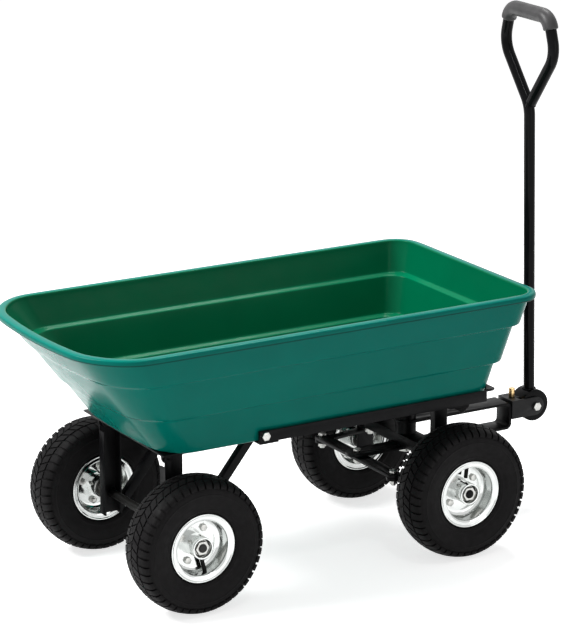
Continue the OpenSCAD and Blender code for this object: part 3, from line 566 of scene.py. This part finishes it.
def tub_ring(tub, u, level, out):
    """One ring of the tub: its rounded plan at a level, moved out and set at a height u."""
    t = level / (TUB_HEIGHT - tub.lip_height)
    inset = wall_inset(tub, level, t)
    w = TUB_HIGH.y - tub.lip_width - inset + out
    x0 = TUB_LOW.x + tub.lip_width + rear_inset(tub, level, t) - out
    x1 = TUB_HIGH.x - tub.lip_width - inset + out
    r0 = REAR_CORNER + REAR_CORNER_GAIN * t + out
    r1 = FRONT_CORNER + FRONT_CORNER_GAIN * t + out
    bow = REAR_BOW + REAR_BOW_GAIN * t
    plan = arc_points(x1 - r1, w - r1, r1, 0, 6)
    plan += line_points((x1 - r1, w), (x0 + r0, w), 9)
    plan += arc_points(x0 + r0, w - r0, r0, 90, 9)
    plan += line_points((x0, w - r0), (x0, r0 - w), 7)
    plan += arc_points(x0 + r0, r0 - w, r0, 180, 9)
    plan += line_points((x0 + r0, -w), (x1 - r1, -w), 9)
    plan += arc_points(x1 - r1, r1 - w, r1, 270, 6)
    plan += line_points((x1, r1 - w), (x1, w - r1), 7)
    return [
        (x + bow * (y / w) ** 2 * max(0.0, 1 - (x - x0) / (1.2 * r0)), y, TUB_LOW.z + u)
        for x, y in plan
    ]


def tub_levels(tub):
    """Height, level and distance out of each ring, up the outside, over the lip and down the inside."""
    height = TUB_HEIGHT
    top = height - tub.lip_height
    low, high = TUB_STEPS
    lip, wall = tub.lip_width, tub.wall
    outside = [(0, 0, -6 * MM), (0, 0, -4 * MM), (0.9 * MM, 0, -1.6 * MM), (3 * MM, 3 * MM, -0.2 * MM)]
    outside += [(u, u, 0) for u in (8 * MM, 16 * MM)]
    for step in (low, high):
        outside += [(step + d * MM, step + d * MM, 0) for d in (-12, -3.4)]
        outside += [(step - 1.8 * MM, step - 0.2 * MM, 0), (step + 1.4 * MM, step + 0.2 * MM, 0)]
        outside += [(step + d * MM, step + d * MM, 0) for d in (3.0, 12)]
    outside += [(top - 7 * MM, top - 7 * MM, 0), (top - 0.5 * MM, top, 0), (top + 1 * MM, top, 2.5 * MM)]
    outside += [(top + 1 * MM, top, lip - 4.5 * MM), (top - 1 * MM, top, lip - 3 * MM)]
    outside += [(top - 1.9 * MM, top, lip - 1.6 * MM), (top - 1 * MM, top, lip - 0.2 * MM)]
    outside += [(top + 3 * MM, top, lip), (height - 5 * MM, top, lip)]
    outside += [(height - 1.4 * MM, top, lip - 1.2 * MM), (height, top, lip - 5 * MM)]
    outside += [(height, top, 4 * MM - wall)]
    inside = [(height - 0.7 * MM, top, 1.3 * MM - wall), (height - 3 * MM, top, 0.2 * MM - wall)]
    inside += [(height - 9 * MM, top, -wall)]
    for step in (high, low):
        inside += [(step + d * MM, step + d * MM, -wall) for d in (14, 4.4)]
        inside += [(step + 3.2 * MM, step + 0.2 * MM, -wall), (step - 1.2 * MM, step - 0.2 * MM, -wall)]
        inside += [(step + d * MM, step + d * MM, -wall) for d in (-2.4, -12)]
    inside += [(wall + 18 * MM, 18 * MM, -wall), (wall + 8 * MM, 8 * MM, -wall)]
    inside += [(wall + 2.4 * MM, 3 * MM, -wall - 1.5 * MM), (wall + 0.4 * MM, 0, -wall - 5 * MM)]
    inside += [(wall, 0, -wall - 9 * MM)]
    return outside, inside


class CART_OT_tub(bpy.types.Operator):
    """Lofts the moulded tub with its steps and its turned rim"""

    bl_idname = "cart.tub"
    bl_label = "Tub"

    def execute(self, context):
        tub = context.scene.cart_tub
        outside, inside = tub_levels(tub)
        bm = bmesh.new()
        side = bm.verts.layers.float.new("inside")
        wear = bm.verts.layers.float.new("wear")
        under, floor = loft(bm, [tub_ring(tub, *level) for level in outside + inside])
        for loop in (under, floor):
            face = bmesh.ops.contextual_create(bm, geom=loop)["faces"]
            bmesh.ops.inset_region(bm, faces=face, thickness=FLAT_BORDER, use_even_offset=True)
        bmesh.ops.recalc_face_normals(bm, faces=bm.faces[:])
        facing_in = self.inner_verts(bm)
        # Each vertex keeps whether it faces in, which picks the inside colour, and the strength of its
        # painted highlight
        for v in bm.verts:
            v[side] = 1.0 if v in facing_in else 0.0
            v[wear] = self.wear(v, v in facing_in)
        plastic = moulded_plastic(tub)
        piece = add_piece("tub_shell", bm, plastic, "tub", ["tub"], 180.0)
        smooth = piece.modifiers.new("smooth", "SUBSURF")
        smooth.levels = smooth.render_levels = 2
        return {"FINISHED"}

    @staticmethod
    def wear(v, inside):
        """The painted highlight: how much paler the plastic is drawn on the rim's top and on the inner
        ledges.
        """
        u = v.co.z - TUB_LOW.z
        if u > TUB_HEIGHT - 3 * MM:
            return RIM_HIGHLIGHT
        on_ledge = any(-2 * MM < u - step < 4 * MM for step in TUB_STEPS)
        return LEDGE_HIGHLIGHT if inside and on_ledge else 0.0

    @staticmethod
    def inner_verts(bm):
        """Vertices of the inner wall and the floor, below the rim's top."""
        low = [v for v in bm.verts if v.co.z < TUB_HIGH.z - 0.4 * MM]
        return {v for v in low if v.normal.dot(OVER_OPENING - v.co) > 0}


# Wheels


def on_axle(bm, wheel):
    """Sets a piece that was drawn about Z, outer face up, on its axle."""
    low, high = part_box(wheel + "_tyre")
    side = 1 if wheel.endswith("left") else -1
    place = Matrix.Translation((low + high) / 2)
    lay = Matrix.Rotation(math.radians(-90 * side), 4, "X")
    spin = Matrix.Rotation(math.radians(WHEEL_TURN[wheel]), 4, "Z")
    bmesh.ops.transform(bm, matrix=place @ lay @ spin, verts=bm.verts[:])


def crown(wheel, a):
    """Radius of the tread at a distance from the middle plane: it drops 7 mm at 36 mm out."""
    return wheel.radius - 7 * MM * (abs(a) / (36 * MM)) ** 2.1


def tyre_outline(wheel):
    """Closed section of the tyre's carcass from bead to bead, below the lugs."""
    r, seat, rim = wheel.radius, wheel.seat_radius, wheel.rim_radius
    half = [(seat, 17 * MM), (seat, 27.5 * MM), (seat + 2.5 * MM, 29.6 * MM)]
    half += [(rim + 0.6 * MM, 29.6 * MM)]
    half += [(rim + 2.2 * MM, 32.2 * MM), (rim + 4.5 * MM, 34.6 * MM), (rim + 7 * MM, 35.4 * MM)]
    half += [(rim + 7.8 * MM, 36.2 * MM), (rim + 9.4 * MM, 36.5 * MM), (rim + 10.4 * MM, 36.3 * MM)]
    half += [(83 * MM, 38.6 * MM), (91 * MM, 39.9 * MM), (98 * MM, 40.4 * MM), (101.4 * MM, 40.4 * MM)]
    half += [(102 * MM, 40.9 * MM), (103.6 * MM, 40.9 * MM), (104.2 * MM, 40.2 * MM)]
    half += [(109 * MM, 39.4 * MM), (113.5 * MM, 37.6 * MM), (117 * MM, 34.6 * MM)]
    half += [(crown(wheel, a * MM) - wheel.groove, a * MM) for a in (29, 22, 15, 8)]
    crest = [(crown(wheel, 0) - wheel.groove, 0.0)]
    lining = [(r - 9 * MM, 0.0), (r - 12 * MM, 16 * MM), (r - 18 * MM, 27 * MM), (96 * MM, 33.5 * MM)]
    lining += [(80 * MM, 32 * MM), (rim + 4 * MM, 26 * MM), (rim - 3 * MM, 18 * MM)]
    mirrored = [(x, -a) for x, a in reversed(half)]
    return half + crest + mirrored + [(x, -a) for x, a in reversed(lining)] + lining[1:]


def lug(outline, span, skew):
    """One tread lug: its section spun through a few degrees and twisted to slant its groove."""
    bm = section(outline)
    turn(bm, -span / 2, "Z")
    bmesh.ops.spin(bm, geom=bm.faces[:], axis=(0, 0, 1), cent=(0, 0, 0), angle=span, steps=2)
    close_up(bm)
    for v in bm.verts:
        v.co.rotate(Matrix.Rotation(skew * v.co.z, 3, "Z"))
    return bm


def row_of_lugs(bm, outline, wheel, share_of_pitch, skew, start):
    """Adds one row of lugs round a tyre."""
    pitch = math.tau / wheel.lugs
    row = lug(outline, share_of_pitch * pitch, skew)
    turn(row, start * pitch, "Z")
    bmesh.ops.spin(
        row, geom=row.verts[:] + row.edges[:] + row.faces[:], axis=(0, 0, 1), cent=(0, 0, 0),
        angle=math.tau - pitch, steps=wheel.lugs - 1, use_duplicate=True,
    )
    add_into(bm, row)


def tread(bm, wheel):
    """Adds a shoulder row and a middle row on each side; the two sides are half a pitch apart."""
    shoulder = [(crown(wheel, a * MM), a * MM) for a in (20.5, 28, 35)]
    shoulder += [(119.8 * MM, 38.0 * MM), (117.2 * MM, 39.2 * MM), (114 * MM, 39.4 * MM)]
    shoulder += [(113 * MM, 37.0 * MM), (116 * MM, 32 * MM), (121 * MM, 20.5 * MM)]
    middle = [(crown(wheel, a * MM), a * MM) for a in (1.6, 9, 17.2)]
    middle += [(120.5 * MM, 17.2 * MM), (121.5 * MM, 1.6 * MM)]
    for s, shift in ((1, 0.0), (-1, 0.5)):
        row_of_lugs(bm, [(r, s * a) for r, a in shoulder], wheel, 0.76, s * 1.2, shift)
        row_of_lugs(bm, [(r, s * a) for r, a in middle], wheel, 0.78, s * 4.5, shift + 0.42)


class CART_OT_tyres(bpy.types.Operator):
    """Turns the four air tyres and sets their tread lugs"""

    bl_idname = "cart.tyres"
    bl_label = "Tyres"

    def execute(self, context):
        settings = context.scene.cart_wheels
        material = rubber("tyre_rubber_finish", settings.rubber, 0.52, 0.68)
        for wheel in WHEELS:
            bm = turned(tyre_outline(settings), 0.4 * MM, 120)
            tread(bm, settings)
            on_axle(bm, wheel)
            body, nodes = "wheel_" + wheel, [wheel + "_tyre"]
            add_piece(wheel + "_lugged_tyre", bm, material, body, nodes, 32.0)
        return {"FINISHED"}


def rim_outline(wheel):
    """Closed section of one pressed half rim: disc, drop, seat and rolled flange."""
    seat, rim = wheel.seat_radius, wheel.rim_radius
    face = [(19 * MM, 0.05 * MM), (41 * MM, 0.05 * MM), (46 * MM, 0.6 * MM), (50.5 * MM, 3.4 * MM)]
    face += [(seat - 0.15 * MM, 8 * MM), (seat - 0.15 * MM, 27.2 * MM), (seat + 1.2 * MM, 29.4 * MM)]
    face += [(seat + 3 * MM, 30 * MM), (rim - 3.6 * MM, 30 * MM), (rim - 0.8 * MM, 31.6 * MM)]
    face += [(rim, 33.2 * MM)]
    back = [(rim - 1.6 * MM, 33.8 * MM), (rim - 4.4 * MM, 32 * MM), (seat + 2.6 * MM, 32 * MM)]
    back += [(seat - 0.8 * MM, 30.8 * MM), (seat - 2 * MM, 28 * MM), (seat - 2.1 * MM, 8.6 * MM)]
    back += [(49.2 * MM, 5.2 * MM), (45.2 * MM, 2.6 * MM), (40.6 * MM, 2 * MM), (19 * MM, 2 * MM)]
    return face + back


class CART_OT_rims(bpy.types.Operator):
    """Turns the pressed half rims and their hubs"""

    bl_idname = "cart.rims"
    bl_label = "Rims"

    def execute(self, context):
        settings = context.scene.cart_wheels
        material = plated("rim_zinc_finish", settings.zinc, 0.06, 0.13)
        bore, shell, half = 17.55 * MM, 20.5 * MM, 33 * MM
        hub = [(bore, -half), (shell, -half), (shell, half), (bore, half)]
        for wheel in WHEELS:
            bm = turned(rim_outline(settings), 0.5 * MM)
            other = bm.copy()
            turn(other, math.pi, "X")
            add_into(bm, other)
            add_into(bm, turned(hub, 0.6 * MM))
            on_axle(bm, wheel)
            body, nodes = "wheel_" + wheel, [wheel + "_rim"]
            add_piece(wheel + "_pressed_rim", bm, material, body, nodes)
        return {"FINISHED"}


class CART_OT_wheel_fittings(bpy.types.Operator):
    """Finishes the valves, bearings and rim bolts of the wheels"""

    bl_idname = "cart.wheel_fittings"
    bl_label = "Wheel fittings"

    def execute(self, context):
        settings = context.scene.cart_wheels
        steel = context.scene.cart_steel
        tube = rubber("tube_rubber_finish", tone(settings.rubber, 0.8), 0.42, 0.55, 500.0, 0.12)
        # The bearings' near-black plating is painted shade in the hub's recess
        dark_plate = plated("dull_plate_small", tone(steel.bright, 0.15), 0.34, 0.48)
        bright = plated("bright_plate_small", steel.bright, 0.28, 0.42)
        finish_nodes([w + "_inner_tube" for w in WHEELS], tube, 0.5 * MM)
        finish_nodes([w + "_bearings" for w in WHEELS], dark_plate, 0.5 * MM)
        finish_nodes([w + "_rim_bolts" for w in WHEELS], bright, 0.4 * MM)
        return {"FINISHED"}


# Handle


def handle_pivot():
    """The middle of the handle's pivot bolt, on the cart's middle plane."""
    low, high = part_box("handle_bolt")
    pivot = (low + high) / 2
    pivot.y = 0.0
    return pivot


def on_pivot(bm, handle):
    """Leans a piece that was drawn upright on the handle's pivot and sets it there."""
    lean = Matrix.Rotation(-handle.lean, 4, "Y")
    place = Matrix.Translation(handle_pivot())
    bmesh.ops.transform(bm, matrix=place @ lean, verts=bm.verts[:])


def weld_bead(points, radius):
    """A lumpy bead of weld along a few points."""
    bm = bmesh.new()
    for i, point in enumerate(points):
        swollen = radius * (1.0 + 0.18 * math.sin(2.1 * i))
        place = Matrix.Translation(point)
        bmesh.ops.create_uvsphere(bm, u_segments=12, v_segments=8, radius=swollen, matrix=place)
    return bm


# Bend radii of the handle tube at the neck, at the shoulders and at the corners of the top bar
NECK_BEND, SHOULDER_BEND, CORNER_BEND = 60 * MM, 56 * MM, 28 * MM
# How far the grip runs down past the corners, and the way it runs
GRIP_TAIL, GRIP_WAY = 25 * MM, (0.28, -0.96)


class CART_OT_handle(bpy.types.Operator):
    """Bends the handle tube with its boss and slides the grip sleeve on"""

    bl_idname = "cart.handle"
    bl_label = "Handle"

    def execute(self, context):
        handle = context.scene.cart_handle
        gloss = powder_coat(context.scene.cart_steel, "gloss_black", 0.10, 0.07)
        y, corner, top = handle.loop_half, handle.corner_half, handle.top
        path = [(0.0, 30 * MM), (0.0, handle.neck), (y, handle.shoulder), (corner, top)]
        path += [(-corner, top), (-y, handle.shoulder), (-6 * MM, handle.neck + 8 * MM)]
        bends = [0, NECK_BEND, SHOULDER_BEND, CORNER_BEND, CORNER_BEND, SHOULDER_BEND, 0]
        bm = bent_tube(path, bends, handle.tube_radius)
        cap_ends(bm)
        add_into(bm, self.boss())
        add_into(bm, self.neck_weld(handle))
        on_pivot(bm, handle)
        add_into(bm, self.stop())
        add_piece("handle_bent_tube", bm, gloss, "handle", ["handle_tube"])
        self.grip(handle)
        return {"FINISHED"}

    @staticmethod
    def boss():
        """The round boss on the pivot, with its bore and eased rims."""
        bore, outer, half = 5.1 * MM, 32 * MM, 20 * MM
        bm = turned([(bore, -half), (outer, -half), (outer, half), (bore, half)], 1.6 * MM, 72)
        turn(bm, math.pi / 2, "X")
        return bm

    @staticmethod
    def neck_weld(handle):
        """The weld round the foot of the stem and the one that closes the loop on the stem."""
        turns = [math.tau * i / 24 for i in range(24)]
        rounds = [(math.cos(a), math.sin(a)) for a in turns]
        points = [Vector((11.2 * MM * c, 11.2 * MM * s, 30.5 * MM)) for c, s in rounds]
        neck = Vector((0.0, -6 * MM, handle.neck + 4 * MM))
        points += [neck + Vector((10.5 * MM * c, -4 * MM * s, 10 * MM * s)) for c, s in rounds]
        return weld_bead(points, 2.4 * MM)

    @staticmethod
    def stop():
        """The lug on the boss that meets the fork when the handle stands."""
        centre = handle_pivot() + Vector((-30 * MM, 0.0, 15.5 * MM))
        block = Matrix.Diagonal((10 * MM, 16 * MM, 6 * MM, 1.0))
        bm = bmesh.new()
        bmesh.ops.create_cube(bm, size=1.0, matrix=Matrix.Translation(centre) @ block)
        ease_off(bm, bm.edges[:], 1 * MM, 2)
        return bm

    @staticmethod
    def grip(handle):
        """The grey sleeve on the top of the loop, which runs round both corners."""
        corner, top = handle.corner_half, handle.top
        y, z = corner + GRIP_WAY[0] * GRIP_TAIL, top + GRIP_WAY[1] * GRIP_TAIL
        path = [(y, z), (corner, top), (-corner, top), (-y, z)]
        bm = bent_tube(path, [0, CORNER_BEND, CORNER_BEND, 0], handle.grip_radius, 40, 18)
        cap_ends(bm, 3 * MM)
        on_pivot(bm, handle)
        sleeve = rubber("grip_rubber_finish", handle.grip, 0.36, 0.50, 700.0, 0.2, 0.35)
        add_piece("handle_sleeve", bm, sleeve, "handle", ["handle_grip"])


# Steel


class CART_OT_undercarriage(bpy.types.Operator):
    """Finishes the frame, the steering, the latch and the handle fork in black powder coat"""

    bl_idname = "cart.undercarriage"
    bl_label = "Undercarriage"

    def execute(self, context):
        steel = context.scene.cart_steel
        coat = powder_coat(steel)
        nodes = ["hinge_plate", "latch_striker", "side_rail_left", "side_rail_right"]
        nodes += ["rear_cross_member", "front_bolster", "front_cross_member"]
        nodes += ["rear_leg_left", "rear_leg_right"]
        nodes += ["rear_strut_left", "rear_strut_right", "front_post_left", "front_post_right"]
        nodes += ["front_axle_beam", "steering_column", "latch_bracket", "latch_lever", "yoke"]
        nodes += ["tie_bar", "knuckle_left", "knuckle_right", "hinge_bolts"]
        finish_nodes(nodes, coat, steel.edge)
        satin = powder_coat(steel, "satin_black", 0.44, 0.22)
        finish_nodes(["handle_clevis"], satin, steel.edge)
        return {"FINISHED"}


class CART_OT_fasteners(bpy.types.Operator):
    """Finishes the bolts and spring in bright, the axle in near-black and the hitch pin in yellow
    plating
    """

    bl_idname = "cart.fasteners"
    bl_label = "Fasteners"

    def execute(self, context):
        steel = context.scene.cart_steel
        bright = plated("bright_plate", steel.bright, 0.24, 0.40)
        nodes = ["tub_bolts", "rear_axle_fasteners", "steering_bolt", "kingpins"]
        nodes += ["latch_bolt", "frame_bolts", "latch_spring", "handle_bolt", "tie_bolt"]
        nodes += ["front_fasteners_left", "front_fasteners_right"]
        finish_nodes(nodes, bright, 0.4 * MM)
        # The axle is plated near-black
        dark_plate = plated("dull_plate", tone(steel.bright, 0.06), 0.40, 0.55)
        finish_nodes(["rear_axle"], dark_plate, 0.4 * MM)
        yellow = plated("yellow_plate", steel.yellow, 0.26, 0.42)
        finish_nodes(["hitch_pin"], yellow, 1.2 * MM)
        return {"FINISHED"}


# Stage


def aim(thing, point):
    """Turns a light or camera to look at a point."""
    way = Vector(point) - thing.location
    thing.rotation_euler = way.to_track_quat("-Z", "Y").to_euler()


def seen_directly(tree):
    """1 for camera, glossy and transmitted rays, and 0 for rays that only carry light."""
    path = tree.nodes.new("ShaderNodeLightPath")
    first = tree.nodes.new("ShaderNodeMath")
    second = tree.nodes.new("ShaderNodeMath")
    for node in (first, second):
        node.operation = "MAXIMUM"
    tree.links.new(path.outputs["Is Camera Ray"], first.inputs[0])
    tree.links.new(path.outputs["Is Glossy Ray"], first.inputs[1])
    tree.links.new(first.outputs[0], second.inputs[0])
    tree.links.new(path.outputs["Is Transmission Ray"], second.inputs[1])
    return second.outputs[0]


class CART_OT_stage(bpy.types.Operator):
    """Sets the camera, a plain pale floor and soft studio light"""

    bl_idname = "cart.stage"
    bl_label = "Stage"

    def execute(self, context):
        stage = context.scene.cart_stage
        context.scene.view_settings.view_transform = "Standard"
        self.camera(context, stage)
        self.world(context, stage)
        self.floor(context, stage)
        for name, (width, place) in LAMPS.items():
            self.lamp(context, name, getattr(stage, name), width, place)
        return {"FINISHED"}

    @staticmethod
    def camera(context, stage):
        """The camera at the picture's angle; the picture's long side spans the sensor."""
        data = bpy.data.cameras.new("camera")
        data.sensor_width = 36.0
        data.lens = stage.focal / max(PHOTO_WIDTH, PHOTO_HEIGHT) * data.sensor_width
        data.clip_end = 100.0
        camera = bpy.data.objects.new("camera", data)
        context.scene.collection.objects.link(camera)
        flat, rise = math.cos(stage.elevation), math.sin(stage.elevation)
        back = Vector((math.sin(stage.azimuth) * flat, -math.cos(stage.azimuth) * flat, rise))
        camera.location = Vector(stage.target) + back * stage.distance
        aim(camera, stage.target)
        context.scene.camera = camera

    @staticmethod
    def world(context, stage):
        """A white surround that lights softly and shows as plain white."""
        world = bpy.data.worlds.new("surround")
        world.use_nodes = True
        tree = world.node_tree
        background = tree.nodes["Background"]
        background.inputs["Color"].default_value = (1.0, 1.0, 1.0, 1.0)
        strength = tree.nodes.new("ShaderNodeMapRange")
        strength.inputs["To Min"].default_value = stage.sky
        strength.inputs["To Max"].default_value = 1.0
        tree.links.new(seen_directly(tree), strength.inputs["Value"])
        tree.links.new(strength.outputs["Result"], background.inputs["Strength"])
        context.scene.world = world

    @staticmethod
    def floor(context, stage):
        """A wide floor that shows almost white and keeps a soft shadow."""
        bm = bmesh.new()
        low = Matrix.Translation((0.0, 0.0, CAD_BOX[0].z - 0.5 * MM))
        bmesh.ops.create_grid(bm, x_segments=8, y_segments=8, size=20.0, matrix=low)
        mesh = bpy.data.meshes.new("floor")
        bm.to_mesh(mesh)
        bm.free()
        floor = bpy.data.objects.new("floor", mesh)
        context.scene.collection.objects.link(floor)
        material, tree, shader = new_material("pale_floor")
        shader.inputs["Roughness"].default_value = 0.9
        shader.inputs["Specular IOR Level"].default_value = 0.05
        pale = shades(tree, noise(tree, 3.0), tone(stage.floor, 0.99), tone(stage.floor, 1.0))
        tree.links.new(pale, shader.inputs["Base Color"])
        glow = tree.nodes.new("ShaderNodeEmission")
        strength = tree.nodes.new("ShaderNodeMath")
        strength.operation = "MULTIPLY"
        strength.inputs[1].default_value = stage.glow
        tree.links.new(seen_directly(tree), strength.inputs[0])
        tree.links.new(strength.outputs[0], glow.inputs["Strength"])
        both = tree.nodes.new("ShaderNodeAddShader")
        tree.links.new(shader.outputs["BSDF"], both.inputs[0])
        tree.links.new(glow.outputs["Emission"], both.inputs[1])
        output = next(n for n in tree.nodes if n.type == "OUTPUT_MATERIAL")
        tree.links.new(both.outputs["Shader"], output.inputs["Surface"])
        mesh.materials.append(material)

    @staticmethod
    def lamp(context, name, watts, width, place):
        """A square soft light that looks at the cart."""
        data = bpy.data.lights.new(name, "AREA")
        data.energy = watts
        data.size = width
        lamp = bpy.data.objects.new(name, data)
        lamp.location = place
        aim(lamp, LAMPS_AIM)
        context.scene.collection.objects.link(lamp)


class CART_PT_panel(bpy.types.Panel):
    """Settings and steps of the dump cart"""

    bl_label = "Dump Cart"
    bl_space_type = "VIEW_3D"
    bl_region_type = "UI"
    bl_category = "Dump Cart"

    def draw(self, context):
        for step in STEPS:
            self.layout.operator(step.bl_idname)
        for name, group in GROUPS.items():
            box = self.layout.box()
            for key in group.__annotations__:
                box.prop(getattr(context.scene, name), key)


GROUPS = {
    "cart_tub": TubSettings,
    "cart_wheels": WheelSettings,
    "cart_handle": HandleSettings,
    "cart_steel": SteelSettings,
    "cart_stage": StageSettings,
}
STEPS = (
    CART_OT_stage,
    CART_OT_tub,
    CART_OT_tyres,
    CART_OT_rims,
    CART_OT_wheel_fittings,
    CART_OT_handle,
    CART_OT_undercarriage,
    CART_OT_fasteners,
)


def register():
    for cls in (*GROUPS.values(), *STEPS, CART_PT_panel):
        bpy.utils.register_class(cls)
    for name, group in GROUPS.items():
        setattr(bpy.types.Scene, name, PointerProperty(type=group))


def unregister():
    for name in GROUPS:
        delattr(bpy.types.Scene, name)
    for cls in reversed((*GROUPS.values(), *STEPS, CART_PT_panel)):
        bpy.utils.unregister_class(cls)


def main():
    """Builds the stage and every piece."""
    register()
    bpy.ops.cart.stage()
    bpy.ops.cart.tub()
    bpy.ops.cart.tyres()
    bpy.ops.cart.rims()
    bpy.ops.cart.wheel_fittings()
    bpy.ops.cart.handle()
    bpy.ops.cart.undercarriage()
    bpy.ops.cart.fasteners()


if __name__ == "__main__":
    main()
